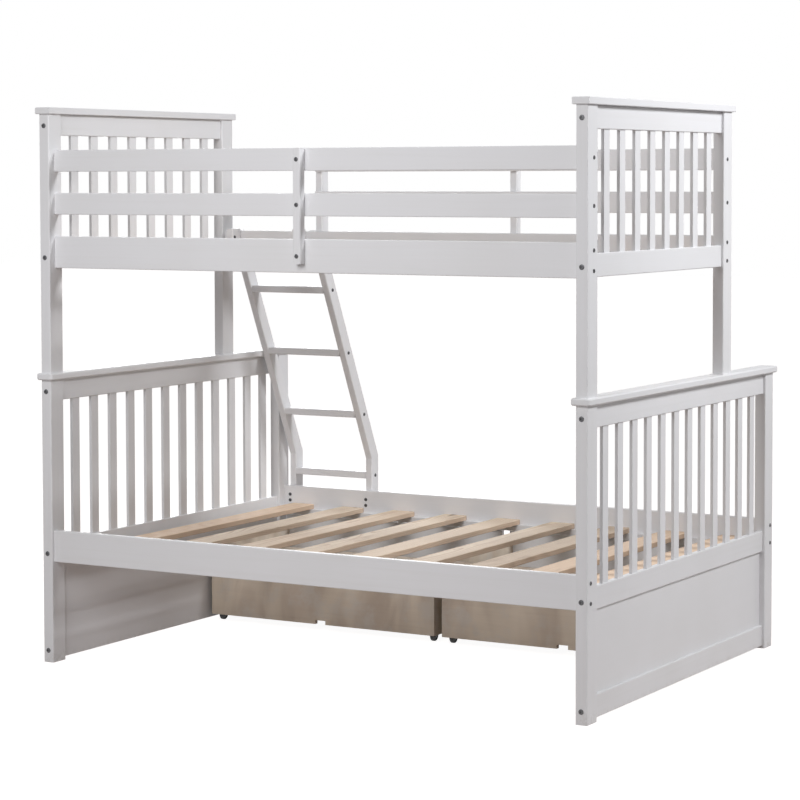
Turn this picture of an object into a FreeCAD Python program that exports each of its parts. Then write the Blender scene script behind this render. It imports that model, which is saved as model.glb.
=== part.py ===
import FreeCAD, Part
import os
import re

import Sketcher

# A bunk bed in painted wood: a wide lower bed with two rolling drawers, a narrower upper bed
# that stands on the caps of the lower ends, and a bent ladder bolted to the front.
# Millimetres.  +X runs along the bed, -Y is the wall side (back), +Y the ladder side (front),
# +Z is up.  The origin is on the floor, below the middle of the whole bed.
#
# Every board is a section drawn in its own body and padded along its grain.  Its own corner is
# at the least x, y and z, and its Placement puts that corner where the board goes.

doc = FreeCAD.newDocument("BunkBed")
sheet = doc.addObject("Spreadsheet::Sheet", "Sizes")

SIZES = (
    ("bed_length", 2000, "over the end posts"),
    ("lower_width", 1456, "over the posts of the lower bed"),
    ("upper_width", 1084, "over the posts of the upper bed"),
    ("post_thickness", 39, "along the bed"),
    ("post_width", 68, "across the bed"),
    ("lower_post_height", 940, ""),
    ("upper_post_height", 855, ""),
    ("post_edge", 4, "rounding of the long edges"),
    ("cap_thickness", 22, ""),
    ("lower_overhang", 13, "lower cap past its posts"),
    ("upper_overhang", 9, "upper cap past its posts"),
    ("lower_cap_corner", 12, "rounding of the lower caps in plan"),
    ("lower_cap_edge", 4, "chamfer all round the lower caps"),
    ("upper_cap_edge", 2, "chamfer all round the upper caps"),
    ("end_rail_thickness", 20, ""),
    ("end_rail_height", 70, ""),
    ("side_edge", 3, "rounding of side rails and guards"),
    ("end_rail_edge", 2, "chamfer of the cross rails"),
    ("foot_gap", 8.5, "floor to the bottom rail of the lower end"),
    ("mid_rail_z", 331.5, "floor to the middle rail of the lower end"),
    ("upper_end_opening", 351, "lower cap to the bottom rail of the upper end"),
    ("end_slat_width", 38, ""),
    ("end_slat_thickness", 10, ""),
    ("end_slat_tenon", 12, "slat inside each rail"),
    ("mortise_play", 0.2, "round a tenon"),
    ("upper_slat_count", 8, ""),
    ("lower_slat_count", 12, ""),
    ("panel_thickness", 10, ""),
    ("panel_rebate", 8, "panel inside each rail"),
    ("side_rail_thickness", 22, ""),
    ("side_rail_height", 105, ""),
    ("lower_setback", 11.5, "post face to rail face, lower bed"),
    ("upper_setback", 29.5, "post face to rail face, upper bed"),
    ("lower_rail_z", 335, "floor to the side rails of the lower bed"),
    ("upper_rail_rise", 348, "lower cap to the side rails of the upper bed"),
    ("guard_height", 71, ""),
    ("lower_guard_gap", 71.5, "side rail to the middle guard"),
    ("upper_guard_gap", 70, "middle guard to the top guard"),
    ("cleat_width", 27, ""),
    ("cleat_edge", 3, "chamfer"),
    ("cleat_rise", 28, "underside of the side rail to the cleat"),
    ("front_cleat_x", 197, "left face of the front cleat"),
    ("end_cleat_depth", 45, "cleat beside the ladder"),
    ("guard_lap", 16, "guards over the cleat beside the ladder"),
    ("ledge_width", 22, ""),
    ("ledge_height", 22, ""),
    ("bed_slat_width", 92, ""),
    ("bed_slat_thickness", 18, ""),
    ("bed_slat_edge", 1.5, "chamfer"),
    ("bed_slat_count", 9, ""),
    ("bed_slat_margin", 41, "post to the first slat"),
    ("bed_slat_play", 1, "side rail to the end of a slat"),
    ("ladder_gap", 0.5, "lower cap to the ladder"),
    ("stile_width", 27, ""),
    ("stile_depth", 50, ""),
    ("stile_edge", 4, ""),
    ("stile_foot_rise", 10, "underside of the lower side rail to the stile's foot"),
    ("stile_top_rise", 3, "stile above the upper side rail"),
    ("stile_bend_rise", 213, "foot of the stile to its bend"),
    ("stile_meet_drop", 26, "top of the upper side rail down to where the stile meets it"),
    ("rung_length", 307, ""),
    ("rung_depth", 48, ""),
    ("rung_thickness", 25, ""),
    ("rung_edge", 3, "chamfer"),
    ("rung_inset", 1, "inner line of the stile to the rung"),
    ("first_rung_rise", 149, "foot of the stile to the middle of the first rung"),
    ("top_rung_drop", 111, "underside of the upper side rail to the middle of the top rung"),
    ("rung_count", 4, ""),
    ("block_depth", 52.5, "block that holds the ladder's head"),
    ("block_height", 60, ""),
    ("block_top_rise", 7, "above the upper side rail"),
    ("cleat_gap", 0.4, "ladder to the cleat beside it"),
    ("drawer_left_gap", 9, "post to the left drawer"),
    ("drawer_middle_gap", 31, "between the drawers"),
    ("drawer_right_gap", 34, "right drawer to the post"),
    ("drawer_depth", 524, ""),
    ("drawer_recess", 0.5, "drawer front behind the face of the side rail"),
    ("drawer_top_gap", 5, "drawer front to the side rail above it"),
    ("drawer_front_z", 22, "floor to the drawer front"),
    ("drawer_front_thickness", 18, ""),
    ("drawer_front_edge", 4, ""),
    ("drawer_box_z", 25, "floor to the sides and the back"),
    ("drawer_box_drop", 40, "top of the front to the top of the box"),
    ("drawer_back_thickness", 16, ""),
    ("drawer_side_thickness", 12, ""),
    ("notch_width", 42, "notch under the back"),
    ("notch_height", 14, ""),
    ("bottom_thickness", 6, ""),
    ("groove_depth", 5, ""),
    ("groove_play", 0.3, "above the bottom in its groove"),
    ("wheel_radius", 20, ""),
    ("wheel_width", 14, ""),
    ("axle_radius", 2.5, ""),
    ("axle_play", 0.05, "round the axle"),
    ("wheel_inset", 23, "side of the drawer to the middle of a wheel"),
    ("axle_inset", 42, "back or front of the drawer to an axle"),
    ("fork_wall", 2, ""),
    ("fork_play", 0.5, "each side of a wheel"),
    ("fork_length", 38, ""),
    ("fork_headroom", 5, "above the wheel"),
    ("fork_toe", 12, "width of the fork's arm at the axle"),
    ("fork_heel", 6, "height of the fork's straight part"),
    ("fork_toe_drop", 6, "arm below the axle's middle"),
    ("knob_foot_radius", 9, ""),
    ("knob_head_radius", 16, ""),
    ("knob_head_height", 17, "front to the knob's widest part"),
    ("knob_height", 24, ""),
    ("knob_crown_radius", 12, "flat end of the knob"),
    ("knob_spacing", 460, ""),
    ("knob_rise", 190, "underside of the front to the knobs"),
)

PLACES = (
    ("near_face", "-(lower_width - lower_setback + stile_depth - lower_overhang) / 2"),
    ("inner_end", "bed_length / 2 - post_thickness"),
    ("upper_deck", "lower_post_height + cap_thickness"),
    ("end_rail_x", "inner_end + (post_thickness - end_rail_thickness) / 2"),
    ("end_slat_x", "inner_end + (post_thickness - end_slat_thickness) / 2"),
    ("upper_rail_z", "upper_deck + upper_rail_rise"),
    ("upper_rail_top", "upper_rail_z + side_rail_height"),
    ("mid_guard_z", "upper_rail_top + lower_guard_gap"),
    ("top_guard_z", "mid_guard_z + guard_height + upper_guard_gap"),
    ("cleat_z", "upper_rail_z + cleat_rise"),
    ("cleat_height", "top_guard_z + guard_height - cleat_z"),
    ("back_upper_y", "near_face + upper_setback"),
    ("back_lower_y", "near_face + lower_setback"),
    ("front_upper_face", "near_face + upper_width - upper_setback"),
    ("front_lower_face", "near_face + lower_width - lower_setback"),
    ("front_upper_y", "front_upper_face - side_rail_thickness"),
    ("front_lower_y", "front_lower_face - side_rail_thickness"),
    ("bed_slat_pitch",
     "(2 * inner_end - 2 * bed_slat_margin - bed_slat_width) / (bed_slat_count - 1)"),
    ("left_stile_x", "-inner_end + lower_overhang + ladder_gap"),
    ("right_stile_x", "left_stile_x + stile_width + rung_length"),
    ("end_cleat_x", "right_stile_x + stile_width + cleat_gap"),
    ("front_guard_x", "end_cleat_x + cleat_width - guard_lap"),
    ("stile_foot_z", "lower_rail_z + stile_foot_rise"),
    ("stile_run", "front_lower_face - front_upper_face"),
    ("stile_meet", "upper_rail_top - stile_meet_drop - stile_foot_z"),
    ("lean_slope", "stile_run / (stile_meet - stile_bend_rise)"),
    ("lean_stretch", "sqrt(1 + lean_slope ^ 2)"),
    ("outer_bend", "stile_bend_rise + stile_depth * lean_slope / (1 + lean_stretch)"),
    ("stile_top", "upper_rail_top + stile_top_rise - stile_foot_z"),
    ("stile_head", "(stile_meet - stile_top) * lean_slope + stile_depth * lean_stretch"),
    ("top_rung_rise", "upper_rail_z - top_rung_drop - stile_foot_z"),
    ("rung_pitch", "(top_rung_rise - first_rung_rise) / (rung_count - 1)"),
    ("drawer_width",
     "(2 * inner_end - drawer_left_gap - drawer_middle_gap - drawer_right_gap) / 2"),
    ("drawer_y", "front_lower_face - drawer_recess - drawer_depth"),
    ("drawer_front_height", "lower_rail_z - drawer_top_gap - drawer_front_z"),
    ("drawer_box_height",
     "drawer_front_z + drawer_front_height - drawer_box_drop - drawer_box_z"),
    ("drawer_side_length", "drawer_depth - drawer_back_thickness - drawer_front_thickness"),
    ("fork_height", "wheel_radius + fork_headroom + fork_wall + fork_toe_drop"),
    ("fork_width", "wheel_width + 2 * fork_play + 2 * fork_wall"),
    ("fork_z", "wheel_radius - fork_toe_drop"),
    ("bottom_z", "fork_z + fork_height"),
    ("groove_height", "bottom_thickness + groove_play"),
    ("wheel_track", "drawer_width - 2 * wheel_inset"),
    ("wheel_base", "drawer_depth - 2 * axle_inset"),
)


def fill_sheet():
    """Driving sizes in the first rows, places worked out from them below."""
    row = 1
    for alias, number, note in SIZES:
        sheet.set("A%d" % row, alias)
        sheet.set("B%d" % row, str(number))
        sheet.set("C%d" % row, note)
        sheet.setAlias("B%d" % row, alias)
        row += 1
    for alias, formula in PLACES:
        sheet.set("A%d" % row, alias)
        sheet.set("B%d" % row, "=" + formula)
        sheet.setAlias("B%d" % row, alias)
        row += 1
    doc.recompute()


ALIASES = {entry[0] for entry in SIZES + PLACES}
SAME = 1e-4
nodes = {}


def bound(text):
    """A formula in plain size names as an expression that reads the sheet."""
    def reference(match):
        word = match.group()
        return "Sizes." + word if word in ALIASES else word
    return re.sub(r"[a-z][a-z_]+", reference, str(text))


def number(text):
    return float(sheet.evalExpression(bound(text)))


def bind(thing, path, text):
    thing.setExpression(path, bound(text))


def new_body(name):
    body = doc.addObject("PartDesign::Body", "Body_" + name)
    body.Label = name
    body.AllowCompound = True
    return body


def new_sketch(body, plane_role, lift="0"):
    """A sketch on one of the body's own planes, lifted off it along the plane's normal."""
    sketch = body.newObject("Sketcher::SketchObject", "Sketch")
    plane = [f for f in body.Origin.OriginFeatures if f.Role == plane_role][0]
    sketch.AttachmentSupport = [(plane, "")]
    sketch.MapMode = "FlatFace"
    if lift != "0":
        bind(sketch, ".AttachmentOffset.Base.z", lift)
    return sketch


def pin_point(sketch, line, x_text, y_text):
    """Hold the start of a line at a place worked out from the sheet."""
    for kind, text in (("DistanceX", x_text), ("DistanceY", y_text)):
        value = number(text)
        index = sketch.addConstraint(Sketcher.Constraint(kind, -1, 1, line, 1, value))
        if text != "0":
            bind(sketch, "Constraints[%d]" % index, text)


def draw_outline(sketch, corners):
    """A closed outline of straight lines through corners given as formulas."""
    places = [FreeCAD.Vector(number(x), number(y), 0) for x, y in corners]
    first = sketch.GeometryCount
    count = len(corners)
    for k in range(count):
        sketch.addGeometry(Part.LineSegment(places[k], places[(k + 1) % count]), False)
    for k in range(count):
        link = Sketcher.Constraint("Coincident", first + k, 2, first + (k + 1) % count, 1)
        sketch.addConstraint(link)
    for k in range(count):
        pin_point(sketch, first + k, *corners[k])


def draw_rectangle(sketch, x, y, width, height):
    right = "(%s) + (%s)" % (x, width)
    top = "(%s) + (%s)" % (y, height)
    draw_outline(sketch, ((x, y), (right, y), (right, top), (x, top)))


def draw_circle(sketch, x, y, radius):
    centre = FreeCAD.Vector(number(x), number(y), 0)
    circle = sketch.addGeometry(Part.Circle(centre, FreeCAD.Vector(0, 0, 1), number(radius)))
    for kind, text in (("DistanceX", x), ("DistanceY", y)):
        rule = Sketcher.Constraint(kind, -1, 1, circle, 3, number(text))
        bind(sketch, "Constraints[%d]" % sketch.addConstraint(rule), text)
    rule = sketch.addConstraint(Sketcher.Constraint("Radius", circle, number(radius)))
    bind(sketch, "Constraints[%d]" % rule, radius)


def add_pad(body, sketch, length, reverse=False):
    pad = body.newObject("PartDesign::Pad", "Pad")
    pad.Profile = sketch
    pad.Reversed = reverse
    bind(pad, "Length", length)
    doc.recompute()
    return pad


def add_pocket(body, sketch, depth, reverse=False):
    """Cut a pocket and make sure that it took something away."""
    before = body.Shape.Volume
    pocket = body.newObject("PartDesign::Pocket", "Pocket")
    pocket.Profile = sketch
    pocket.Reversed = reverse
    bind(pocket, "Length", depth)
    doc.recompute()
    if not pocket.Shape.Volume < before:
        raise ValueError("empty pocket in " + body.Label)
    return pocket


def dress_edges(body, feature, dimension, size, wanted):
    """Dress the edges of the body's last feature that the test picks."""
    base = body.Tip
    edges = base.Shape.Edges
    names = ["Edge%d" % (k + 1) for k in range(len(edges)) if wanted(edges[k])]
    dressing = body.newObject("PartDesign::" + feature, feature)
    dressing.Base = (base, names)
    bind(dressing, dimension, size)
    doc.recompute()


def round_edges(body, radius, wanted):
    dress_edges(body, "Fillet", "Radius", radius, wanted)


def chamfer_edges(body, size, wanted):
    dress_edges(body, "Chamfer", "Size", size, wanted)


def along(axis):
    """Pick the straight edges that run along one axis."""
    def wanted(edge):
        if edge.Curve.TypeId != "Part::GeomLine":
            return False
        step = edge.Vertexes[-1].Point - edge.Vertexes[0].Point
        return abs(abs(step[axis]) - step.Length) < SAME
    return wanted


def at_level(axis, place):
    """Pick the edges that lie in one plane across an axis."""
    def wanted(edge):
        box = edge.BoundBox
        low = (box.XMin, box.YMin, box.ZMin)[axis]
        high = (box.XMax, box.YMax, box.ZMax)[axis]
        return abs(low - place) < SAME and abs(high - place) < SAME
    return wanted


def set_pattern(pattern, sketch, axis, spacing, count):
    pattern.Direction = (sketch, [axis])
    bind(pattern, "Length", "(%s) * (%s - 1)" % (spacing, count))
    bind(pattern, "Occurrences", count)


def repeat(body, sketch, feature, axis, spacing, count):
    """Repeat one feature in a row along an axis of its sketch."""
    pattern = body.newObject("PartDesign::LinearPattern", "Row")
    pattern.Originals = [feature]
    set_pattern(pattern, sketch, axis, spacing, count)
    body.Tip = pattern
    doc.recompute()
    return pattern


SECTION_PLANES = {"x": "YZ_Plane", "y": "XZ_Plane", "z": "XY_Plane"}


def board(name, grain, size, row=None, rounded=None, chamfered=None):
    """A board drawn across its grain.  A row repeats it as (sketch axis, spacing, count);
    rounded or chamfered names the size that eases its long edges."""
    axis = "xyz".index(grain)
    across = [size[k] for k in range(3) if k != axis]
    body = new_body(name)
    sketch = new_sketch(body, SECTION_PLANES[grain])
    draw_rectangle(sketch, "0", "0", *across)
    pad = add_pad(body, sketch, size[axis], reverse=grain == "y")
    if row:
        repeat(body, sketch, pad, *row)
    if rounded:
        round_edges(body, rounded, along(axis))
    if chamfered:
        chamfer_edges(body, chamfered, along(axis))
    return body


def put(body, x, y, z, turned_depth=None):
    """Place a body; a turned one is the same piece at the other end, its depth given."""
    if turned_depth is None:
        bind(body, ".Placement.Base.x", x)
        bind(body, ".Placement.Base.y", y)
    else:
        half_turn = FreeCAD.Rotation(FreeCAD.Vector(0, 0, 1), 180)
        body.Placement = FreeCAD.Placement(FreeCAD.Vector(), half_turn)
        bind(body, ".Placement.Base.x", "-(%s)" % x)
        bind(body, ".Placement.Base.y", "%s + (%s)" % (y, turned_depth))
    bind(body, ".Placement.Base.z", z)
    nodes[body.Label] = body


def put_end(body, end, x, y, z, depth):
    """Place a piece of the right end, or the same piece turned round at the left end."""
    put(body, x, y, z, depth if end == "left" else None)


def end_rail_length(level):
    return "%s_width - 2 * post_width" % level


def end_slat_gap(level):
    rail = end_rail_length(level)
    return "((%s) - %s_slat_count * end_slat_width) / (%s_slat_count + 1)" % (rail, level, level)


def posts(level, end):
    """Two posts of one end."""
    spacing = "%s_width - post_width" % level
    height = "%s_post_height" % level
    body = board("%s_%s_posts" % (level, end), "z", ("post_thickness", "post_width", height),
                 row=("V_Axis", spacing, "2"), rounded="post_edge")
    floor = "0" if level == "lower" else "upper_deck"
    put_end(body, end, "inner_end", "near_face", floor, "%s_width" % level)


def cap(level, end):
    """The board over both posts and the top rail of one end, eased all the way round.
    Only the lower ones, at sitting height, have rounded corners."""
    overhang = "%s_overhang" % level
    length = "%s_width + 2 * %s" % (level, overhang)
    body = board("%s_%s_cap" % (level, end), "z",
                 ("post_thickness + 2 * " + overhang, length, "cap_thickness"),
                 rounded="lower_cap_corner" if level == "lower" else None)
    top = at_level(2, number("cap_thickness"))
    bottom = at_level(2, 0)
    chamfer_edges(body, "%s_cap_edge" % level, lambda edge: top(edge) or bottom(edge))
    x = "inner_end - " + overhang
    y = "near_face - " + overhang
    z = "lower_post_height" if level == "lower" else "upper_deck + upper_post_height"
    put_end(body, end, x, y, z, length)


def cut_mortises(body, level, in_top):
    """A row of mortises for the slats, in the top or the underside of a rail."""
    gap = end_slat_gap(level)
    side = "(end_rail_thickness - end_slat_thickness) / 2 - mortise_play"
    width = "end_slat_thickness + 2 * mortise_play"
    sketch = new_sketch(body, "XY_Plane", "end_rail_height" if in_top else "0")
    draw_rectangle(sketch, side, gap + " - mortise_play", width,
                   "end_slat_width + 2 * mortise_play")
    pocket = add_pocket(body, sketch, "end_slat_tenon", reverse=not in_top)
    repeat(body, sketch, pocket, "V_Axis", gap + " + end_slat_width",
           "%s_slat_count" % level)


def end_rail(level, end, name, z, slats_in_top=None, rebate_at=None):
    """A cross rail of an end.  A rebate on the inner side holds the panel of the lower end."""
    length = end_rail_length(level)
    body = new_body("%s_%s_%s" % (level, end, name))
    sketch = new_sketch(body, "XZ_Plane")
    thick = "end_rail_thickness"
    high = "end_rail_height"
    if rebate_at is None:
        corners = (("0", "0"), (thick, "0"), (thick, high), ("0", high))
    elif rebate_at == "bottom":
        corners = (("panel_thickness", "0"), (thick, "0"), (thick, high), ("0", high),
                   ("0", "panel_rebate"), ("panel_thickness", "panel_rebate"))
    else:
        shelf = high + " - panel_rebate"
        corners = (("0", "0"), (thick, "0"), (thick, high), ("panel_thickness", high),
                   ("panel_thickness", shelf), ("0", shelf))
    draw_outline(sketch, corners)
    add_pad(body, sketch, length, reverse=True)
    plain_heights = {None: (0, number(high)), "bottom": (number(high),), "top": (0,)}[rebate_at]
    outer = number(thick)
    lengthwise = along(1)

    def shown(edge):
        if not lengthwise(edge):
            return False
        point = edge.Vertexes[0].Point
        on_outer = abs(point.x - outer) < SAME
        return on_outer or min(abs(point.z - height) for height in plain_heights) < SAME
    chamfer_edges(body, "end_rail_edge", shown)
    if slats_in_top is not None:
        cut_mortises(body, level, slats_in_top)
    put_end(body, end, "end_rail_x", "near_face + post_width", z, length)


def end_slats(level, end, bottom_rail_z, top_rail_z):
    """The row of upright slats, tenoned into the rails above and below."""
    height = "%s - (%s) - end_rail_height + 2 * end_slat_tenon" % (top_rail_z, bottom_rail_z)
    gap = end_slat_gap(level)
    pitch = gap + " + end_slat_width"
    count = "%s_slat_count" % level
    body = board("%s_%s_slats" % (level, end), "z",
                 ("end_slat_thickness", "end_slat_width", height),
                 row=("V_Axis", pitch, count))
    row_depth = "%s * end_slat_width + (%s - 1) * (%s)" % (count, count, gap)
    z = "(%s) + end_rail_height - end_slat_tenon" % bottom_rail_z
    put_end(body, end, "end_slat_x", "near_face + post_width + " + gap, z, row_depth)


def end_panel(end):
    """The thin panel that closes the foot of a lower end, flush with the rails inside."""
    length = end_rail_length("lower")
    z = "foot_gap + end_rail_height - panel_rebate"
    height = "mid_rail_z - foot_gap - end_rail_height + 2 * panel_rebate"
    body = board("lower_%s_panel" % end, "z", ("panel_thickness", length, height))
    put_end(body, end, "end_rail_x", "near_face + post_width", z, length)


def upper_end(end):
    top_z = "upper_deck + upper_post_height - end_rail_height"
    bottom_z = "upper_deck + upper_end_opening"
    posts("upper", end)
    cap("upper", end)
    end_rail("upper", end, "top_rail", top_z, slats_in_top=False)
    end_rail("upper", end, "bottom_rail", bottom_z, slats_in_top=True)
    end_slats("upper", end, bottom_z, top_z)


def lower_end(end):
    top_z = "lower_post_height - end_rail_height"
    posts("lower", end)
    cap("lower", end)
    end_rail("lower", end, "top_rail", top_z, slats_in_top=False)
    end_rail("lower", end, "mid_rail", "mid_rail_z", slats_in_top=True, rebate_at="bottom")
    end_rail("lower", end, "bottom_rail", "foot_gap", rebate_at="top")
    end_panel(end)
    end_slats("lower", end, "mid_rail_z", top_z)


def side_board(name, x, y, z, length, height):
    body = board(name, "x", (length, "side_rail_thickness", height), rounded="side_edge")
    put(body, x, y, z)


def cleat(name, x, y, depth):
    """An upright batten that ties the guards to the side rail."""
    body = board(name, "z", ("cleat_width", depth, "cleat_height"), chamfered="cleat_edge")
    put(body, x, y, "cleat_z")


def sides():
    """Side rails of both beds, the guards of the upper bed and their cleats."""
    whole = "2 * inner_end"
    left = "-inner_end"
    side_board("upper_back_side_rail", left, "back_upper_y", "upper_rail_z", whole,
               "side_rail_height")
    side_board("upper_front_side_rail", left, "front_upper_y", "upper_rail_z", whole,
               "side_rail_height")
    side_board("lower_back_side_rail", left, "back_lower_y", "lower_rail_z", whole,
               "side_rail_height")
    side_board("lower_front_side_rail", left, "front_lower_y", "lower_rail_z", whole,
               "side_rail_height")
    for guard, z in (("mid_guard", "mid_guard_z"), ("top_guard", "top_guard_z")):
        side_board("upper_back_" + guard, left, "back_upper_y", z, whole, "guard_height")
        side_board("upper_front_" + guard, "front_guard_x", "front_upper_y", z,
                   "inner_end - front_guard_x", "guard_height")
    cleat("upper_back_cleat", "-cleat_width / 2", "near_face", "upper_setback")
    cleat("upper_front_cleat", "front_cleat_x", "front_upper_face", "upper_setback")
    cleat("ladder_side_cleat", "end_cleat_x", "front_upper_face", "end_cleat_depth")


def slatted_base(level):
    """Ledges inside the side rails and the loose boards that lie on them."""
    start = "back_%s_y + side_rail_thickness" % level
    stop = "front_%s_y" % level
    clear = "%s - (%s)" % (stop, start)
    ledges = board("%s_slat_ledges" % level, "x",
                   ("2 * inner_end", "ledge_width", "ledge_height"),
                   row=("H_Axis", clear + " - ledge_width", "2"))
    put(ledges, "-inner_end", start, "%s_rail_z" % level)
    slats = board("%s_bed_slats" % level, "y",
                  ("bed_slat_width", clear + " - 2 * bed_slat_play", "bed_slat_thickness"),
                  row=("H_Axis", "bed_slat_pitch", "bed_slat_count"),
                  chamfered="bed_slat_edge")
    put(slats, "-inner_end + bed_slat_margin", start + " + bed_slat_play",
        "%s_rail_z + ledge_height" % level)


def stile(name, x):
    """A bent stile: upright against the lower rail, then leaning in to the upper rail,
    where its head is cut to stand flat against the rail's face."""
    body = new_body(name)
    sketch = new_sketch(body, "YZ_Plane")
    back = "stile_run + stile_depth"
    draw_outline(sketch, (
        ("stile_run", "0"), (back, "0"), (back, "outer_bend"),
        ("stile_head", "stile_top"), ("0", "stile_top"), ("0", "stile_meet"),
        ("stile_run", "stile_bend_rise")))
    add_pad(body, sketch, "stile_width")
    rail_face = at_level(1, 0)
    ends = (at_level(0, 0), at_level(0, number("stile_width")))

    def shown(edge):
        return any(flat(edge) for flat in ends) and not rail_face(edge)
    round_edges(body, "stile_edge", shown)
    put(body, x, "front_upper_face", "stile_foot_z")


def rungs():
    """Flat rungs between the stiles, level, following the stiles' inner line."""
    body = new_body("ladder_rungs")
    sketch = new_sketch(body, "YZ_Plane")
    for k in range(int(number("rung_count"))):
        middle = "(first_rung_rise + %d * rung_pitch)" % k
        line = "min(stile_run; (stile_meet - %s) * lean_slope)" % middle
        draw_rectangle(sketch, line + " + rung_inset", middle + " - rung_thickness / 2",
                       "rung_depth", "rung_thickness")
    add_pad(body, sketch, "rung_length")
    chamfer_edges(body, "rung_edge", along(0))
    put(body, "left_stile_x + stile_width", "front_upper_face", "stile_foot_z")


def ladder():
    stile("ladder_left_stile", "left_stile_x")
    stile("ladder_right_stile", "right_stile_x")
    rungs()
    blocks = board("ladder_head_blocks", "z", ("stile_width", "block_depth", "block_height"),
                   row=("H_Axis", "rung_length - stile_width", "2"), chamfered="cleat_edge")
    put(blocks, "left_stile_x + stile_width", "front_upper_y - block_depth",
        "upper_rail_top + block_top_rise - block_height")


def drawer_front(side, x):
    """The painted front, grooved inside for the bottom."""
    body = board(side + "_drawer_front", "x",
                 ("drawer_width", "drawer_front_thickness", "drawer_front_height"))
    face = at_level(1, number("drawer_front_thickness"))
    round_edges(body, "drawer_front_edge", face)
    sketch = new_sketch(body, "XZ_Plane")
    draw_rectangle(sketch, "drawer_side_thickness - groove_depth", "bottom_z - drawer_front_z",
                   "drawer_width - 2 * drawer_side_thickness + 2 * groove_depth",
                   "groove_height")
    add_pocket(body, sketch, "groove_depth")
    put(body, x, "drawer_y + drawer_depth - drawer_front_thickness", "drawer_front_z")


def drawer_back(side, x):
    """The raw back, grooved inside, with a notch for the hand under its middle."""
    body = board(side + "_drawer_back", "x",
                 ("drawer_width", "drawer_back_thickness", "drawer_box_height"))
    notch = new_sketch(body, "XZ_Plane")
    draw_rectangle(notch, "(drawer_width - notch_width) / 2", "0", "notch_width",
                   "notch_height")
    add_pocket(body, notch, "drawer_back_thickness")
    groove = new_sketch(body, "XZ_Plane", "-drawer_back_thickness")
    draw_rectangle(groove, "drawer_side_thickness - groove_depth", "bottom_z - drawer_box_z",
                   "drawer_width - 2 * drawer_side_thickness + 2 * groove_depth",
                   "groove_height")
    add_pocket(body, groove, "groove_depth", reverse=True)
    put(body, x, "drawer_y", "drawer_box_z")


def drawer_sides(side, x):
    """Two side boards, each with the groove of the bottom on its inner face."""
    body = new_body(side + "_drawer_sides")
    sketch = new_sketch(body, "XZ_Plane")
    low = "bottom_z - drawer_box_z"
    high = low + " + groove_height"
    inner = "drawer_side_thickness"
    floor = "drawer_side_thickness - groove_depth"
    top = "drawer_box_height"
    left = (("0", "0"), (inner, "0"), (inner, low), (floor, low), (floor, high),
            (inner, high), (inner, top), ("0", top))
    draw_outline(sketch, left)
    draw_outline(sketch, [("drawer_width - (%s)" % a, b) for a, b in reversed(left)])
    add_pad(body, sketch, "drawer_side_length", reverse=True)
    put(body, x, "drawer_y + drawer_back_thickness", "drawer_box_z")


def drawer_bottom(side, x):
    inset = "drawer_side_thickness - groove_depth"
    body = board(side + "_drawer_bottom", "x",
                 ("drawer_width - 2 * (%s)" % inset, "drawer_side_length + 2 * groove_depth",
                  "bottom_thickness"))
    put(body, x + " + " + inset, "drawer_y + drawer_back_thickness - groove_depth", "bottom_z")


def caster_forks(side, x):
    """Four fixed forks of folded sheet, each with its axle, under the drawer's corners."""
    body = new_body(side + "_drawer_caster_forks")
    section = new_sketch(body, "XZ_Plane")
    wall = "fork_wall"
    far_wall = "fork_width - fork_wall"
    crown = "fork_height - fork_wall"
    draw_outline(section, (
        ("0", "0"), (wall, "0"), (wall, crown), (far_wall, crown), (far_wall, "0"),
        ("fork_width", "0"), ("fork_width", "fork_height"), ("0", "fork_height")))
    add_pad(body, section, "fork_length", reverse=True)
    taper = new_sketch(body, "YZ_Plane")
    slant = "(fork_length - fork_toe) / 2"
    shoulder = "fork_height - fork_heel"
    draw_outline(taper, (("0", "0"), (slant, "0"), ("0", shoulder)))
    draw_outline(taper, (("fork_length", "0"), ("fork_length", shoulder),
                         ("fork_length - " + slant, "0")))
    add_pocket(body, taper, "fork_width", reverse=True)
    axle = new_sketch(body, "YZ_Plane")
    draw_circle(axle, "fork_length / 2", "fork_toe_drop", "axle_radius")
    add_pad(body, axle, "fork_width")
    pattern = body.newObject("PartDesign::LinearPattern", "Corners")
    pattern.TransformMode = "Whole shape"
    set_pattern(pattern, section, "H_Axis", "wheel_track", "2")
    pattern.Direction2 = (taper, ["H_Axis"])
    bind(pattern, "Length2", "wheel_base")
    pattern.Occurrences2 = 2
    body.Tip = pattern
    doc.recompute()
    put(body, x + " + wheel_inset - fork_width / 2",
        "drawer_y + axle_inset - fork_length / 2", "fork_z")


def wheel_pair(side, row, x, y):
    """Two wheels that turn on the axles of one pair of forks."""
    body = new_body("%s_drawer_%s_wheels" % (side, row))
    sketch = new_sketch(body, "YZ_Plane")
    draw_circle(sketch, "0", "0", "wheel_radius")
    draw_circle(sketch, "0", "0", "axle_radius + axle_play")
    disc = add_pad(body, sketch, "wheel_width")
    repeat(body, sketch, disc, "N_Axis", "wheel_track", "2")
    put(body, x + " + wheel_inset - wheel_width / 2", y, "wheel_radius")


def knobs(side, x):
    """Two turned knobs on the drawer front."""
    body = new_body(side + "_drawer_knobs")
    sketch = new_sketch(body, "XY_Plane")
    draw_outline(sketch, (
        ("0", "0"), ("knob_foot_radius", "0"), ("knob_head_radius", "knob_head_height"),
        ("knob_crown_radius", "knob_height"), ("0", "knob_height")))
    turning = body.newObject("PartDesign::Revolution", "Revolution")
    turning.Profile = sketch
    turning.ReferenceAxis = (sketch, ["V_Axis"])
    doc.recompute()
    repeat(body, sketch, turning, "H_Axis", "knob_spacing", "2")
    put(body, x + " + (drawer_width - knob_spacing) / 2", "drawer_y + drawer_depth",
        "drawer_front_z + knob_rise")


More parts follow.
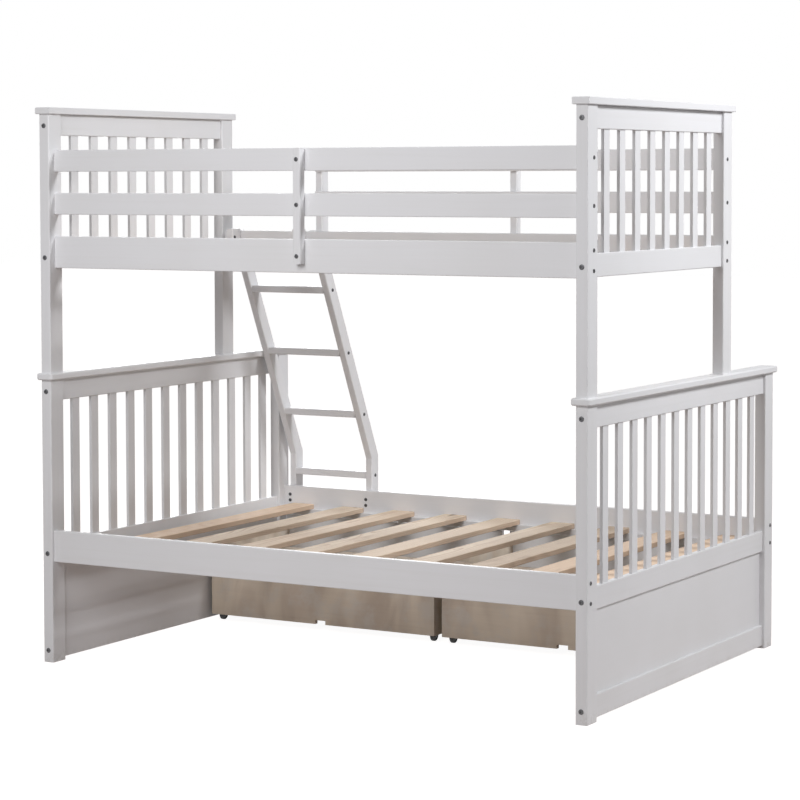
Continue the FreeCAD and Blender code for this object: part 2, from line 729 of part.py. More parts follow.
def drawer(side, x):
    drawer_front(side, x)
    drawer_back(side, x)
    drawer_sides(side, x)
    drawer_bottom(side, x)
    caster_forks(side, x)
    wheel_pair(side, "rear", x, "drawer_y + axle_inset")
    wheel_pair(side, "front", x, "drawer_y + drawer_depth - axle_inset")
    knobs(side, x)


def check_and_write():
    """Nothing is written before every object and every shape is sound."""
    doc.recompute()
    for thing in doc.Objects:
        if {"Invalid", "Error"} & set(thing.State):
            raise ValueError("failed object: " + thing.Label)
    for name, body in nodes.items():
        if body.Shape.isNull() or not body.Shape.isValid() or not body.Shape.Solids:
            raise ValueError("bad shape: " + name)
    os.makedirs("parts", exist_ok=True)
    for name, body in nodes.items():
        body.Shape.exportStep("parts/%s.step" % name)


fill_sheet()
for end_name in ("left", "right"):
    upper_end(end_name)
    lower_end(end_name)
sides()
slatted_base("upper")
slatted_base("lower")
ladder()
left_drawer_x = "-inner_end + drawer_left_gap"
drawer("left", left_drawer_x)
drawer("right", left_drawer_x + " + drawer_width + drawer_middle_gap")
check_and_write()
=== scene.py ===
import math

import bmesh
import bpy
import numpy as np
from mathutils import Matrix, Vector


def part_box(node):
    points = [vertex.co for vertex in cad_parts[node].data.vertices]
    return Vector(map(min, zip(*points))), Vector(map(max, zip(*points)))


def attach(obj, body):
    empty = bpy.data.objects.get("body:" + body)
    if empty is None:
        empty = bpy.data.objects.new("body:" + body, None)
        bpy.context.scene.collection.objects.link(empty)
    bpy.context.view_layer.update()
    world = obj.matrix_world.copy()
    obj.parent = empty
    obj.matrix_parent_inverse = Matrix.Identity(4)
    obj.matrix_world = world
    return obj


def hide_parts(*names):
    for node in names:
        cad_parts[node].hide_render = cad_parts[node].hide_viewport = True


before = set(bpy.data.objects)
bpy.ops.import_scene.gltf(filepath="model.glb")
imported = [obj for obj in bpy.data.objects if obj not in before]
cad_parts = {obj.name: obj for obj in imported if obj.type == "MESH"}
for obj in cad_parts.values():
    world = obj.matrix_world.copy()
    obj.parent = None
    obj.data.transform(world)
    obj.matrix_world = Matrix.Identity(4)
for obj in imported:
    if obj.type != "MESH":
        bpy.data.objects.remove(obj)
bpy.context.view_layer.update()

# ---------------------------------------------------------------------------------------------
# The four end frames.  Solid pine posts, rails, slats and caps, sprayed with a satin white
# paint that lets the long streaks of the grain show as faint ridges, plus a thin flat panel
# between the two lowest rails.  The feet pick up a little dirt from the floor.


class Number:
    """A number that changes over a surface; arithmetic on it adds Math nodes."""

    def __init__(self, nodes, socket):
        self.nodes = nodes
        self.socket = socket

    def math(self, operation, *values):
        node = self.nodes.add("ShaderNodeMath", {"operation": operation},
                              dict(enumerate(values)))
        return Number(self.nodes, node.outputs[0])

    def __add__(self, other):
        return self.math("ADD", self, other)

    def __radd__(self, other):
        return self.math("ADD", other, self)

    def __sub__(self, other):
        return self.math("SUBTRACT", self, other)

    def __mul__(self, other):
        return self.math("MULTIPLY", self, other)

    def __truediv__(self, other):
        return self.math("DIVIDE", self, other)

    def __pow__(self, other):
        return self.math("POWER", self, other)

    def floor(self):
        return self.math("FLOOR", self)

    def fraction(self):
        return self.math("FRACT", self)

    def step(self, low, high):
        """0 below low, 1 above high and a soft S between them; low may be the larger."""
        node = self.nodes.add(
            "ShaderNodeMapRange", {"interpolation_type": "SMOOTHSTEP"},
            {"Value": self, "From Min": low, "From Max": high})
        return Number(self.nodes, node.outputs[0])


class Nodes:
    """The nodes of a material or of the surround."""

    def __init__(self, owner):
        owner.use_nodes = True
        self.tree = owner.node_tree

    def add(self, kind, settings=None, sockets=None):
        """A node of that kind: its settings, then the values or links of its sockets."""
        node = self.tree.nodes.new(kind)
        for name, value in (settings or {}).items():
            if name == "stops":
                ramp = node.color_ramp
                while len(ramp.elements) < len(value):
                    ramp.elements.new(0.5)
                for element, (place, colour) in zip(ramp.elements, value):
                    element.position = place
                    element.color = (*colour, 1)
            else:
                setattr(node, name, value)
        for name, value in (sockets or {}).items():
            if isinstance(value, Number):
                value = value.socket
            if isinstance(value, bpy.types.NodeSocket):
                self.tree.links.new(value, node.inputs[name])
            else:
                node.inputs[name].default_value = value
        return node


class Finish(Nodes):
    """A material in the making, with the constants of its shader set straight away."""

    def __init__(self, name, **constants):
        self.material = bpy.data.materials.new(name)
        super().__init__(self.material)
        self.shader = self.tree.nodes["Principled BSDF"]
        for socket, value in constants.items():
            self.shader.inputs[socket.replace("_", " ")].default_value = value

    def place(self, scale=(1, 1, 1)):
        """The point on the object in metres, scaled axis by axis."""
        point = self.add("ShaderNodeTexCoord").outputs["Object"]
        return self.add("ShaderNodeMapping", {}, {"Vector": point, "Scale": scale}).outputs[0]

    def axes(self):
        """The three coordinates of the point as numbers."""
        node = self.add("ShaderNodeSeparateXYZ", {}, {0: self.place()})
        return [Number(self, socket) for socket in node.outputs]

    def join(self, x, y, z):
        """The point with those three coordinates."""
        return self.add("ShaderNodeCombineXYZ", {}, {0: x, 1: y, 2: z}).outputs[0]

    def noise(self, vector, scale=1.0, detail=3.0, roughness=0.5, distortion=0.0):
        """Fractal noise between 0 and 1 at that point."""
        node = self.add("ShaderNodeTexNoise", {}, {
            "Vector": vector, "Scale": scale, "Detail": detail,
            "Roughness": roughness, "Distortion": distortion})
        return Number(self, node.outputs["Fac"])

    def ramp(self, share, *stops):
        """A colour read off (place, colour) stops."""
        node = self.add("ShaderNodeValToRGB", {"stops": stops}, {0: share})
        return node.outputs[0]

    def mix(self, first, second, share):
        """The first colour where share is 0, the second where it is 1."""
        node = self.add("ShaderNodeMix", {"data_type": "RGBA"}, {
            0: share,
            6: first if isinstance(first, bpy.types.NodeSocket) else (*first, 1),
            7: second if isinstance(second, bpy.types.NodeSocket) else (*second, 1)})
        return node.outputs[2]

    def set(self, socket, value):
        """Links a number, a colour or a normal to a socket of the shader."""
        if isinstance(value, Number):
            value = value.socket
        self.tree.links.new(value, self.shader.inputs[socket])

    def bump(self, height, distance, strength, below=None):
        """Ridges of that height map, at most distance metres deep, on those below."""
        sockets = {"Height": height, "Distance": distance, "Strength": strength}
        if below is not None:
            sockets["Normal"] = below
        return self.add("ShaderNodeBump", {}, sockets).outputs[0]


PAINT = (0.80, 0.80, 0.815)
PAINT_SHADE = (0.74, 0.735, 0.73)
FOOT_DIRT = (0.52, 0.50, 0.47)
PAINT_ACROSS_GRAIN = 55.0
PAINT_ALONG_GRAIN = 1.6
STREAK_DEPTH = 0.0003
PEEL_DEPTH = 0.00006


def painted(name, grain, dirt_height=0.0, relief=1.0):
    """White paint over pine whose grain runs along one axis.

    Streak = noise on the point stretched 34 times along the grain, so its lines run that way.
    Colour = paint, a touch greyer in the streaks and where a slow noise thins the film.
    Height = streak plus a fine even noise for the spray's orange peel.  Relief scales the
    streaks, because a smooth panel shows next to none."""
    finish = Finish(name, IOR=1.46, Coat_Roughness=0.2)
    stretch = [PAINT_ACROSS_GRAIN] * 3
    stretch[grain] = PAINT_ALONG_GRAIN
    streak = finish.noise(finish.place(stretch), detail=5.0, roughness=0.62, distortion=0.35)
    film = finish.noise(finish.place(), scale=3.2, detail=2.0)
    peel = finish.noise(finish.place(), scale=420.0, detail=1.0)
    colour = finish.mix(PAINT, PAINT_SHADE, streak.step(0.42, 0.78) * (0.30 * relief)
                        + film.step(0.4, 0.75) * 0.30)
    if dirt_height:
        z = finish.axes()[2]
        scuff = finish.noise(finish.place(), scale=60.0, detail=4.0, roughness=0.7)
        colour = finish.mix(colour, FOOT_DIRT,
                            z.step(dirt_height, 0.0) * scuff.step(0.42, 0.70) * 0.55)
    finish.set("Base Color", colour)
    finish.set("Roughness", 0.36 + film * 0.12 + streak * 0.06)
    ridges = finish.bump(streak, STREAK_DEPTH * relief, 0.6)
    finish.set("Normal", finish.bump(peel, PEEL_DEPTH, 0.4, ridges))
    return finish.material


def dress(material, *names):
    """Gives those CAD nodes the material in every slot."""
    for name in names:
        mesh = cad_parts[name].data
        mesh.materials.clear()
        mesh.materials.append(material)


painted_posts = painted("painted_upright_boards", 2, dirt_height=0.05)
painted_cross = painted("painted_cross_boards", 1, dirt_height=0.03)
panel_paint = painted("painted_panel", 1, relief=0.2)
for end in ("left", "right"):
    for level in ("upper", "lower"):
        dress(painted_posts, "%s_%s_posts" % (level, end), "%s_%s_slats" % (level, end))
        dress(painted_cross, "%s_%s_cap" % (level, end), "%s_%s_top_rail" % (level, end),
              "%s_%s_bottom_rail" % (level, end))
    dress(painted_cross, "lower_%s_mid_rail" % end)
    dress(panel_paint, "lower_%s_panel" % end)

# ---------------------------------------------------------------------------------------------
# The side rails and the guards of the upper bed: long planed pine boards with eased edges,
# in the same satin paint, their grain along the bed.  Three upright cleats tie the guards to
# the rails.

UPPER_ROWS = ("side_rail", "mid_guard", "top_guard")

painted_long = painted("painted_long_boards", 0)
dress(painted_long, "lower_back_side_rail", "lower_front_side_rail")
for side in ("back", "front"):
    for row in UPPER_ROWS:
        dress(painted_long, "upper_%s_%s" % (side, row))
dress(painted_posts, "upper_back_cleat", "upper_front_cleat", "ladder_side_cleat")

# ---------------------------------------------------------------------------------------------
# The slatted bases.  Unfinished pine boards, planed, laid loose across two painted ledges;
# every board has its own tone, long growth rings and a few knots with darker rings round them.

PINE_PALE = (0.83, 0.70, 0.555)
PINE_WARM = (0.81, 0.60, 0.435)
PINE_RING = (0.52, 0.35, 0.235)
PINE_BROWN = (0.48, 0.345, 0.245)
PINE_KNOT = (0.20, 0.115, 0.06)
RING_WIDTH = 0.0042
HEART_INSET = 0.01
HEART_DEPTH = 0.035
PINE_DEPTH = 0.0006
# How far below the planed top the painted shade on the slat sides starts, and where it is
# full.
SHADED_SIDE_DROP = (0.0005, 0.003)
BOARD_MARGIN = 0.02
BOARD_SHIFT = 3.7
TONE_SEED = 7.3


def parts_of(name, axis, gap=0.001):
    """The pieces of a CAD node, told apart by the gaps between them along one axis.

    Each face covers a stretch of the axis.  In order of where they start, a face that starts
    past the end of all before it begins the next piece.  Returns each piece's lowest and
    highest corner."""
    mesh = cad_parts[name].data
    points = np.empty(len(mesh.vertices) * 3)
    mesh.vertices.foreach_get("co", points)
    corners = np.empty(len(mesh.loops), int)
    mesh.loops.foreach_get("vertex_index", corners)
    faces = points.reshape(-1, 3)[corners.reshape(-1, 3)]
    faces = faces[faces[:, :, axis].min(axis=1).argsort()]
    reached = np.maximum.accumulate(faces[:, :, axis].max(axis=1))
    starts = np.flatnonzero(faces[1:, :, axis].min(axis=1) > reached[:-1] + gap) + 1
    return [(part.min(axis=(0, 1)), part.max(axis=(0, 1))) for part in np.split(faces, starts)]


def raw_pine(name, boards):
    """Planed pine with its grain along Y, one board to each stretch of X.

    Board = floor of the distance from the first board over the pitch; a white noise of it
    gives the tone, and a shift of every pattern.  Ring = fraction of the distance from the
    heart of the trunk, which lies below each board and wanders along it, over the ring's
    width.  Knot = near the centre of a long Voronoi cell, and it pushes the rings aside.  The
    sides below the planed top are painted browner than the top: painted shade."""
    first, base, top = boards[0][0][0], boards[0][0][2], boards[0][1][2]
    pitch = boards[1][0][0] - first
    finish = Finish(name, Specular_IOR_Level=0.3)
    x, y, z = finish.axes()
    board = ((x - first + BOARD_MARGIN) / pitch).floor()
    chance = finish.add("ShaderNodeTexWhiteNoise", {"noise_dimensions": "1D"},
                        {"W": board + TONE_SEED})
    tone = Number(finish, chance.outputs["Value"])
    shift = board * BOARD_SHIFT
    cells = finish.add("ShaderNodeTexVoronoi", {}, {
        "Vector": finish.join(x * 9.0 + shift, y * 2.1 + shift, z * 9.0), "Scale": 1.0})
    near = Number(finish, cells.outputs["Distance"])
    knot = near.step(0.13, 0.05)
    wander = finish.noise(finish.join(x * 2.0 + shift, y * 1.1, z * 2.0), detail=2.0)
    across = x - first - board * pitch - HEART_INSET - tone * 0.07 + wander * 0.05
    below = z - base + HEART_DEPTH + tone * 0.04 + wander * 0.03
    heart = (across * across + below * below) ** 0.5
    ring = (heart / RING_WIDTH + near.step(0.5, 0.05) * 2.5).fraction()
    fibre = finish.noise(finish.join(x * 420.0, y * 9.0 + shift, z * 420.0), detail=4.0,
                         roughness=0.65)
    stain = finish.noise(finish.join(x * 14.0 + shift, y * 3.0, z * 14.0), detail=4.0,
                         roughness=0.6)
    wood = finish.ramp(ring, (0.0, PINE_PALE), (0.5, PINE_PALE), (0.88, PINE_RING),
                       (1.0, PINE_PALE))
    wood = finish.mix(PINE_PALE, wood, 0.35 + stain * 0.5)
    wood = finish.mix(wood, PINE_WARM, tone.step(0.45, 1.0) * 0.75)
    wood = finish.mix(wood, PINE_BROWN, tone.step(0.3, 0.0) * 0.3
                      + stain.step(0.55, 0.75) * 0.5 + fibre.step(0.45, 0.75) * 0.2)
    wood = finish.mix(wood, PINE_KNOT, knot * 0.75)
    # Painted shade: the sides below the planed top are mixed towards brown, darker than the
    # top.
    shaded_sides = z.step(top - SHADED_SIDE_DROP[0], top - SHADED_SIDE_DROP[1])
    wood = finish.mix(wood, PINE_BROWN, shaded_sides * (0.3 + stain * 0.5))
    finish.set("Base Color", wood)
    finish.set("Roughness", 0.62 + fibre * 0.2 - knot * 0.15)
    finish.set("Normal", finish.bump(fibre * 0.6 - ring * 0.4, PINE_DEPTH, 0.5))
    return finish.material


for level in ("lower", "upper"):
    slats = "%s_bed_slats" % level
    dress(raw_pine("raw_pine_%s" % level, parts_of(slats, 0)), slats)
    dress(painted_long, "%s_slat_ledges" % level)

# ---------------------------------------------------------------------------------------------
# The ladder: two bent stiles, four flat rungs with their grain across the ladder, and two
# blocks bolted inside the upper rail that hold its head, all in the bed's paint.

painted_rungs = painted("painted_ladder_rungs", 0)
dress(painted_posts, "ladder_left_stile", "ladder_right_stile", "ladder_head_blocks")
dress(painted_rungs, "ladder_rungs")

# ---------------------------------------------------------------------------------------------
# The two drawers.  The fronts are painted like the bed; the box is raw board with a flat,
# mottled, greyish brown face, and a thin bottom slides in its grooves.

BOARD_LIGHT = (0.82, 0.725, 0.60)
BOARD_DARK = (0.57, 0.475, 0.39)
BOARD_GREY = (0.71, 0.675, 0.62)
BOARD_ACROSS_GRAIN = 38.0
BOARD_ALONG_GRAIN = 2.2
BOARD_CLOUDS = (6.0, 6.0, 2.0)
BOARD_DEPTH = 0.0004


def raw_board(name, grain):
    """Unpainted drawer board, its grain along one axis.

    Colour = brown between light and dark by soft clouds that stand upright on the board,
    faint streaks along the grain, and grey patches.  Height = the streaks and a fine fuzz."""
    finish = Finish(name, Specular_IOR_Level=0.25)
    stretch = [BOARD_ACROSS_GRAIN] * 3
    stretch[grain] = BOARD_ALONG_GRAIN
    streak = finish.noise(finish.place(stretch), detail=6.0, roughness=0.6, distortion=0.6)
    cloud = finish.noise(finish.place(BOARD_CLOUDS), detail=3.0, roughness=0.55,
                         distortion=0.8)
    patch = finish.noise(finish.place(), scale=9.0, detail=6.0, roughness=0.7)
    fuzz = finish.noise(finish.place(), scale=650.0, detail=2.0)
    colour = finish.mix(BOARD_LIGHT, BOARD_DARK,
                        cloud.step(0.36, 0.66) * 0.75 + streak.step(0.38, 0.72) * 0.18)
    colour = finish.mix(colour, BOARD_GREY, patch.step(0.45, 0.66) * 0.55)
    finish.set("Base Color", colour)
    finish.set("Roughness", 0.68 + fuzz * 0.2)
    finish.set("Normal", finish.bump(streak * 0.7 + fuzz * 0.3, BOARD_DEPTH, 0.5))
    return finish.material


board_long = raw_board("raw_board_long", 0)
board_deep = raw_board("raw_board_deep", 1)
for side in ("left", "right"):
    dress(painted_long, side + "_drawer_front")
    dress(board_long, side + "_drawer_back", side + "_drawer_bottom")
    dress(board_deep, side + "_drawer_sides")

# ---------------------------------------------------------------------------------------------
# The drawers' knobs: turned wooden knobs with a waist and a domed head, glued and screwed to
# the fronts, in the bed's paint.

TURN_STEPS = 40
SHARP_EDGE = math.radians(40)
KNOB_ROUNDING = 0.003


def turned(profile, centres, axis, corners=None):
    """Turns a profile about an axis, once at each centre.

    The profile gives a distance from the axis and a height along it for every station.  At
    angle a, a point is centre + radius * (cos a * u + sin a * v) + height * axis, with u and v
    square to the axis.  corners marks stations that follow a hexagon: there the radius is
    divided by the cosine of the angle to the nearest flat.  Returns a grid of points, copies x
    stations x steps."""
    profile = np.asarray(profile, float)
    axis = np.asarray(axis, float)
    u = np.roll(axis, 1)
    v = np.cross(axis, u)
    angle = np.arange(TURN_STEPS) * (2 * np.pi / TURN_STEPS)
    radius = np.repeat(profile[:, :1], TURN_STEPS, axis=1)
    if corners is not None:
        to_flat = (angle + np.pi / 6) % (np.pi / 3) - np.pi / 6
        radius = np.where(corners[:, None], radius / np.cos(to_flat), radius)
    across = np.cos(angle)[:, None] * u + np.sin(angle)[:, None] * v
    shape = radius[..., None] * across + profile[:, 1, None, None] * axis
    return np.asarray(centres, float)[:, None, None, :] + shape


def skin(name, grids, material):
    """A mesh over grids of copies x stations x steps, closed round the steps.

    The four points of each cell make a face.  Points that coincide, as at a pole, become one,
    and the faces then turn outwards."""
    copies, stations, steps, _ = grids.shape
    index = np.arange(copies * stations * steps).reshape(copies, stations, steps)
    beside = np.roll(index, -1, axis=2)
    faces = np.stack((index[:, :-1], beside[:, :-1], beside[:, 1:], index[:, 1:]), axis=-1)
    mesh = bpy.data.meshes.new(name)
    mesh.from_pydata(grids.reshape(-1, 3).tolist(), [], faces.reshape(-1, 4).tolist())
    work = bmesh.new()
    work.from_mesh(mesh)
    bmesh.ops.remove_doubles(work, verts=work.verts, dist=1e-6)
    bmesh.ops.recalc_face_normals(work, faces=work.faces)
    work.to_mesh(mesh)
    work.free()
    mesh.shade_smooth()
    mesh.set_sharp_from_angle(angle=SHARP_EDGE)
    mesh.materials.append(material)
    piece = bpy.data.objects.new(name, mesh)
    bpy.context.scene.collection.objects.link(piece)
    return piece


def rounded(points, radius, steps=5):
    """The profile with each inner corner replaced by a curve from radius before it to radius
    after it: (1-t)^2 * before + 2t(1-t) * corner + t^2 * after."""
    points = np.asarray(points, float)
    line = [points[0]]
    t = np.linspace(0, 1, steps)[:, None]
    for before, corner, after in zip(points[:-2], points[1:-1], points[2:]):
        start, end = (corner + (other - corner) / np.linalg.norm(other - corner)
                      * min(radius, np.linalg.norm(other - corner) / 2)
                      for other in (before, after))
        line.extend((1 - t) ** 2 * start + 2 * t * (1 - t) * corner + t ** 2 * end)
    line.append(points[-1])
    return np.array(line)


KNOB_PROFILE = rounded([(0, 0), (0.009, 0), (0.0085, 0.0025), (0.0095, 0.0075),
                        (0.016, 0.0135), (0.0158, 0.0195), (0.0115, 0.024), (0, 0.024)],
                       KNOB_ROUNDING)
knob_paint = painted("painted_knobs", 1)
for side in ("left", "right"):
    node = side + "_drawer_knobs"
    centres = [((low[0] + high[0]) / 2, low[1], (low[2] + high[2]) / 2)
               for low, high in parts_of(node, 0)]
    knobs = skin(side + "_turned_knobs", turned(KNOB_PROFILE, centres, (0, 1, 0)), knob_paint)
    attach(knobs, side + "_drawer")
    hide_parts(node)

# ---------------------------------------------------------------------------------------------
# The casters.  Pressed steel forks in black paint that is rubbed thin in spots, and moulded
# black wheels with a rounded tread, a sunk web and a raised hub that turns on the fork's axle.

STEEL_BLACK = (0.022, 0.022, 0.024)
STEEL_RUBBED = (0.15, 0.145, 0.14)
PLASTIC_BLACK = (0.006, 0.006, 0.0065)
PLASTIC_DUST = (0.055, 0.052, 0.048)
STEEL_DEPTH = 0.00004
GRIT_DEPTH = 0.00005


def black_metal(name):
    """Black finish on steel: a fine noise dulls it, a coarser one rubs it thin in spots."""
    finish = Finish(name, Metallic=0.25, Coat_Roughness=0.3)
    fine = finish.noise(finish.place(), scale=700.0, detail=3.0, roughness=0.6)
    spots = finish.noise(finish.place(), scale=700.0 / 6, detail=5.0, roughness=0.7)
    finish.set("Base Color", finish.mix(STEEL_BLACK, STEEL_RUBBED,
                                        spots.step(0.60, 0.74) * 0.7))
    finish.set("Roughness", 0.30 + fine * 0.22)
    finish.set("Normal", finish.bump(fine, STEEL_DEPTH, 0.5))
    return finish.material


def moulded_black(name):
    """Black plastic with floor dust worked into its texture, more of it in patches."""
    finish = Finish(name)
    grit = finish.noise(finish.place(), scale=900.0, detail=2.0)
    dust = finish.noise(finish.place(), scale=140.0, detail=5.0, roughness=0.7)
    finish.set("Base Color", finish.mix(PLASTIC_BLACK, PLASTIC_DUST,
                                        dust.step(0.52, 0.72) * 0.25))
    finish.set("Roughness", 0.38 + dust * 0.3)
    finish.set("Normal", finish.bump(grit, GRIT_DEPTH, 0.4))
    return finish.material


BORE_RADIUS = 0.0026
HUB_RADIUS = 0.0058
RIM_RADIUS = 0.0158
WEB_DEPTH = 0.0022
WALL_SLANT = 0.0006
TREAD_DROP = 0.0016
TREAD_EDGE = 0.0022
WHEEL_ROUNDING = 0.0008

fork_metal = black_metal("black_fork_steel")
wheel_plastic = moulded_black("black_wheel_plastic")
for side in ("left", "right"):
    dress(fork_metal, side + "_drawer_caster_forks")
    for row in ("front", "rear"):
        node = "%s_drawer_%s_wheels" % (side, row)
        wheels = parts_of(node, 0)
        low, high = wheels[0]
        radius = (high[2] - low[2]) / 2
        half = (high[0] - low[0]) / 2
        profile = rounded([
            (BORE_RADIUS, -half), (HUB_RADIUS, -half),
            (HUB_RADIUS + WALL_SLANT, WEB_DEPTH - half), (RIM_RADIUS, WEB_DEPTH - half),
            (RIM_RADIUS + WALL_SLANT, -half), (radius - TREAD_DROP, -half),
            (radius, -half + TREAD_EDGE), (radius, half - TREAD_EDGE),
            (radius - TREAD_DROP, half), (RIM_RADIUS + WALL_SLANT, half),
            (RIM_RADIUS, half - WEB_DEPTH), (HUB_RADIUS + WALL_SLANT, half - WEB_DEPTH),
            (HUB_RADIUS, half), (BORE_RADIUS, half), (BORE_RADIUS, 0)], WHEEL_ROUNDING, 4)
        profile = np.vstack((profile, profile[:1]))
        centres = [(low + high) / 2 for low, high in wheels]
        piece = skin("%s_%s_caster_wheels" % (side, row), turned(profile, centres, (1, 0, 0)),
                     wheel_plastic)
        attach(piece, "%s_%s_wheels" % (side, row))
        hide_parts(node)

# ---------------------------------------------------------------------------------------------
# The fasteners.  Machine bolts with low round heads and hexagon sockets, in dark nickel, hold
# the cross rails and the cleats; smaller ones run through the posts into the side rails,
# through the stiles into the rungs, and hold the ladder's foot and head.

BOLT_RADIUS = 0.0080
CLEAT_BOLT_RADIUS = BOLT_RADIUS * 0.86
SCREW_RADIUS = 0.0062
BOLT_DROP = 0.0035
PAIR_SPREAD = 0.030
FOOT_BOLT_RISES = (-0.003, 0.019)
HEAD_BOLT_BACK = 0.0135
MEETING = 0.01
# A head's profile, in units of its radius.
HEAD_BELOW = 0.1
HEAD_RIM = 0.16
HEAD_CROWN = 0.36
HEAD_ROUND = 0.22
SOCKET_MOUTH = 0.40
SOCKET_WALL = 0.37
SOCKET_BEVEL = 0.04
SOCKET_FLOOR = 0.02
NICKEL_DARK = (0.095, 0.095, 0.10)
NICKEL_WORN = (0.19, 0.187, 0.183)
NICKEL_DEPTH = 0.00003

bolt_finish = Finish("dark_nickel_bolts", Metallic=0.9)
bolt_haze = bolt_finish.noise(bolt_finish.place(), scale=420.0, detail=3.0, roughness=0.6)
bolt_finish.set("Base Color", bolt_finish.mix(NICKEL_DARK, NICKEL_WORN,
                                              bolt_haze.step(0.5, 0.8)))
bolt_finish.set("Roughness", 0.26 + bolt_haze * 0.2)
bolt_finish.set("Normal", bolt_finish.bump(bolt_haze, NICKEL_DEPTH, 0.5))


def bolt_heads(name, size, spots):
    """Low domed heads with hexagon sockets, at (point, outward direction) pairs.

    Profile, out from the wood in units of the head's radius: straight rim, quarter round up to
    a flat crown, then down into the socket, whose stations follow a hexagon."""
    turn = np.linspace(0, np.pi / 2, 6)
    dome = np.column_stack((1 - HEAD_ROUND + HEAD_ROUND * np.cos(turn),
                            HEAD_RIM + (HEAD_CROWN - HEAD_RIM) * np.sin(turn)))
    socket = [(SOCKET_MOUTH, HEAD_CROWN), (SOCKET_WALL, HEAD_CROWN - SOCKET_BEVEL),
              (SOCKET_WALL, SOCKET_FLOOR), (0, SOCKET_FLOOR)]
    profile = size * np.vstack(([(0, -HEAD_BELOW), (1, -HEAD_BELOW)], dome, socket))
    corners = np.arange(len(profile)) >= len(profile) - len(socket)
    grids = np.concatenate([turned(profile, [point], outward, corners)
                            for point, outward in spots])
    piece = skin(name, grids, bolt_finish.material)
    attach(piece, "bed_frame")


def middle(box, axis):
    """Half way along a box on one axis."""
    return (box[0][axis] + box[1][axis]) / 2


cross_bolts = []
for end in ("left", "right"):
    for level, rails in (("lower", ("top", "mid", "bottom")), ("upper", ("top", "bottom"))):
        back, front = parts_of("%s_%s_posts" % (level, end), 1)
        for rail in rails:
            height = middle(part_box("%s_%s_%s_rail" % (level, end, rail)), 2) - BOLT_DROP
            cross_bolts.append(((middle(back, 0), back[0][1], height), (0, -1, 0)))
            cross_bolts.append(((middle(front, 0), front[1][1], height), (0, 1, 0)))
bolt_heads("cross_rail_bolts", BOLT_RADIUS, cross_bolts)

cleat_bolts = []
for cleat, side, outward in (("upper_back_cleat", "back", -1),
                             ("upper_front_cleat", "front", 1),
                             ("ladder_side_cleat", "front", 1)):
    low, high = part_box(cleat)
    face = low[1] if outward < 0 else high[1]
    for row in UPPER_ROWS:
        height = middle(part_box("upper_%s_%s" % (side, row)), 2)
        cleat_bolts.append((((low[0] + high[0]) / 2, face, height), (0, outward, 0)))
bolt_heads("cleat_bolts", CLEAT_BOLT_RADIUS, cleat_bolts)

rail_screws = []
for end, outward in (("left", -1), ("right", 1)):
    for level in ("lower", "upper"):
        posts = parts_of("%s_%s_posts" % (level, end), 1)
        for side, (low, high) in zip(("back", "front"), posts):
            face = low[0] if outward < 0 else high[0]
            for row in UPPER_ROWS if level == "upper" else ("side_rail",):
                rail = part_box("%s_%s_%s" % (level, side, row))
                # The front guards stop at the ladder, short of the left post.
                if outward < 0 and rail[0][0] > high[0] + MEETING:
                    continue
                for step in (-PAIR_SPREAD, PAIR_SPREAD) if row == "side_rail" else (0,):
                    rail_screws.append(((face, middle(rail, 1), middle(rail, 2) + step),
                                        (outward, 0, 0)))
bolt_heads("side_rail_screws", SCREW_RADIUS, rail_screws)

ladder_screws = []
for stile, outward in (("ladder_left_stile", -1), ("ladder_right_stile", 1)):
    low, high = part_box(stile)
    face = low[0] if outward < 0 else high[0]
    for rung in parts_of("ladder_rungs", 2):
        ladder_screws.append(((face, middle(rung, 1), middle(rung, 2)), (outward, 0, 0)))
bolt_heads("rung_screws", SCREW_RADIUS, ladder_screws)

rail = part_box("lower_front_side_rail")
foot_bolts = [((middle(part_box(stile), 0), rail[0][1], middle(rail, 2) + step), (0, -1, 0))
              for stile in ("ladder_left_stile", "ladder_right_stile")
              for step in FOOT_BOLT_RISES]
bolt_heads("ladder_foot_bolts", SCREW_RADIUS, foot_bolts)

left_block, right_block = parts_of("ladder_head_blocks", 0)
head_bolts = [((face[0], middle(block, 1) - HEAD_BOLT_BACK, middle(block, 2)), (outward, 0, 0))
              for block, face, outward in ((left_block, left_block[1], 1),
                                           (right_block, right_block[0], -1))]
bolt_heads("ladder_head_bolts", SCREW_RADIUS, head_bolts)

# ---------------------------------------------------------------------------------------------
# The studio: a pale floor that keeps the bed's shadow, a soft lamp high on the right, a wide
# one on the wall side and one on the ladder's side, and an even white surround.

FLOOR_TONE = (0.49, 0.425, 0.395)
FLOOR_TONE_PALE = (0.51, 0.445, 0.415)
FLOOR_WIDTH = 60
FLOOR_DROP = 0.0005
FLOOR_LIFT = 0.94
SURROUND = 0.21
WHITE = (1, 1, 1, 1)
KEY_COLOUR = (0.97, 0.98, 1.0)
SIDE_COLOUR = (0.985, 0.985, 1.0)

bpy.ops.mesh.primitive_plane_add(size=FLOOR_WIDTH, location=(0, 0, -FLOOR_DROP))
floor = bpy.context.object
floor.name = "studio_floor"
floor_finish = Finish("studio_floor", Roughness=0.9, Specular_IOR_Level=0.0)
floor_grain = floor_finish.noise(floor_finish.place(), scale=2.0, detail=2.0)
floor_finish.set("Base Color", floor_finish.mix(FLOOR_TONE, FLOOR_TONE_PALE, floor_grain))


def seen_directly(nodes):
    """1 for rays from the camera, a mirror or glass, 0 for the rays that carry light."""
    path = nodes.add("ShaderNodeLightPath")
    camera, glossy, glass = (Number(nodes, path.outputs[ray]) for ray in (
        "Is Camera Ray", "Is Glossy Ray", "Is Transmission Ray"))
    return camera.math("MAXIMUM", camera, glossy.math("MAXIMUM", glossy, glass))


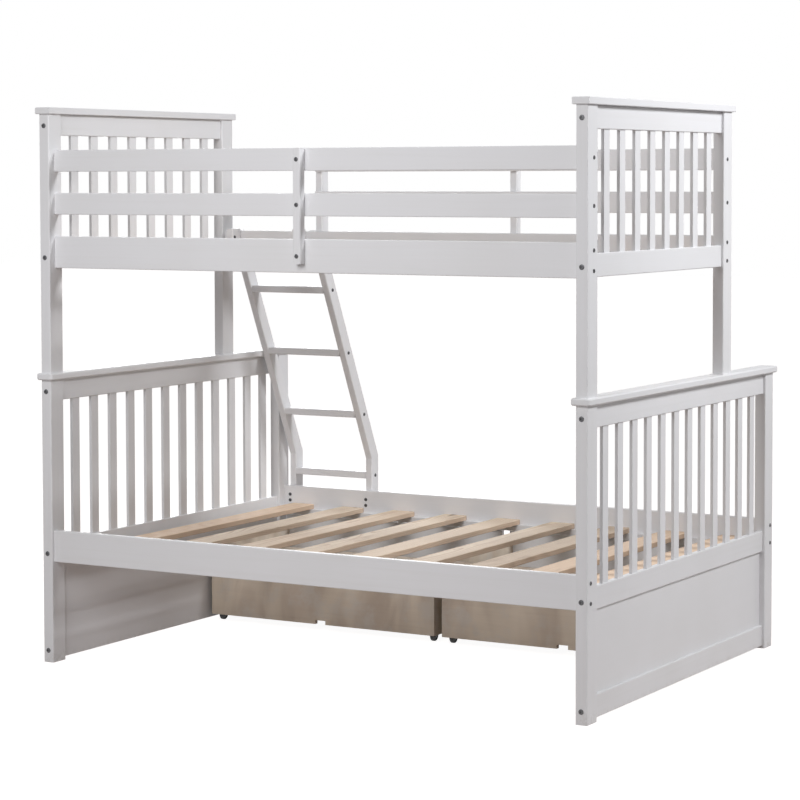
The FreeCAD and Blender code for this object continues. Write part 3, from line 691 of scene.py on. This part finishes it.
glow = floor_finish.add("ShaderNodeEmission", {}, {
    "Color": WHITE, "Strength": seen_directly(floor_finish) * FLOOR_LIFT})
both = floor_finish.add("ShaderNodeAddShader", {}, {
    0: floor_finish.shader.outputs[0], 1: glow.outputs[0]})
out = floor_finish.tree.nodes["Material Output"]
floor_finish.tree.links.new(both.outputs[0], out.inputs["Surface"])
floor.data.materials.append(floor_finish.material)

world = bpy.data.worlds.new("studio")
bpy.context.scene.world = world
sky = Nodes(world)
around = sky.add("ShaderNodeBackground", {}, {"Color": (*KEY_COLOUR, 1), "Strength": SURROUND})
white = sky.add("ShaderNodeBackground", {}, {"Color": WHITE, "Strength": 1.0})
choice = sky.add("ShaderNodeMixShader", {}, {
    0: seen_directly(sky), 1: around.outputs[0], 2: white.outputs[0]})
sky.tree.links.new(choice.outputs[0], sky.tree.nodes["World Output"].inputs["Surface"])


def lamp(name, place, target, width, spread, watts, colour):
    """A square lamp that faces the target, its light held within spread degrees."""
    data = bpy.data.lights.new(name, "AREA")
    data.shape = "SQUARE"
    data.size = width
    data.spread = math.radians(spread)
    data.energy = watts
    data.color = colour
    light = bpy.data.objects.new(name, data)
    light.location = place
    light.rotation_euler = (Vector(target) - Vector(place)).to_track_quat("-Z", "Y").to_euler()
    bpy.context.scene.collection.objects.link(light)


lamp("key_lamp", (4.6, 0.6, 4.0), (0.1, 0, 1.35), 1.2, 80, 40, KEY_COLOUR)
lamp("wall_side_lamp", (0.2, -4.7, 3.0), (-0.3, 0, 1.1), 2.4, 90, 35, SIDE_COLOUR)
lamp("ladder_side_lamp", (-3.4, 4.6, 2.1), (0, 0, 1.0), 2.4, 90, 34, SIDE_COLOUR)

# ---------------------------------------------------------------------------------------------
# The camera stands to the right of the back corner, at standing eye height, and looks across
# the bed and slightly down on it with a long lens.

CAMERA_PLACE = (4.1566, -7.2977, 1.6049)
CAMERA_YAW = math.radians(29.986)
CAMERA_PITCH = math.radians(2.909)
CAMERA_ROLL = math.radians(0.125)
CAMERA_LENS = 112.63
CAMERA_SHIFT = (-0.0009, -0.1187)
SENSOR_WIDTH = 36

data = bpy.data.cameras.new("camera")
data.sensor_width = SENSOR_WIDTH
data.lens = CAMERA_LENS
data.shift_x, data.shift_y = CAMERA_SHIFT
data.clip_end = 100
camera = bpy.data.objects.new("camera", data)
camera.matrix_world = (Matrix.Translation(CAMERA_PLACE)
                       @ Matrix.Rotation(CAMERA_YAW, 4, "Z")
                       @ Matrix.Rotation(math.pi / 2 - CAMERA_PITCH, 4, "X")
                       @ Matrix.Rotation(-CAMERA_ROLL, 4, "Z"))
bpy.context.scene.collection.objects.link(camera)
bpy.context.scene.camera = camera
bpy.context.scene.view_settings.view_transform = "Standard"
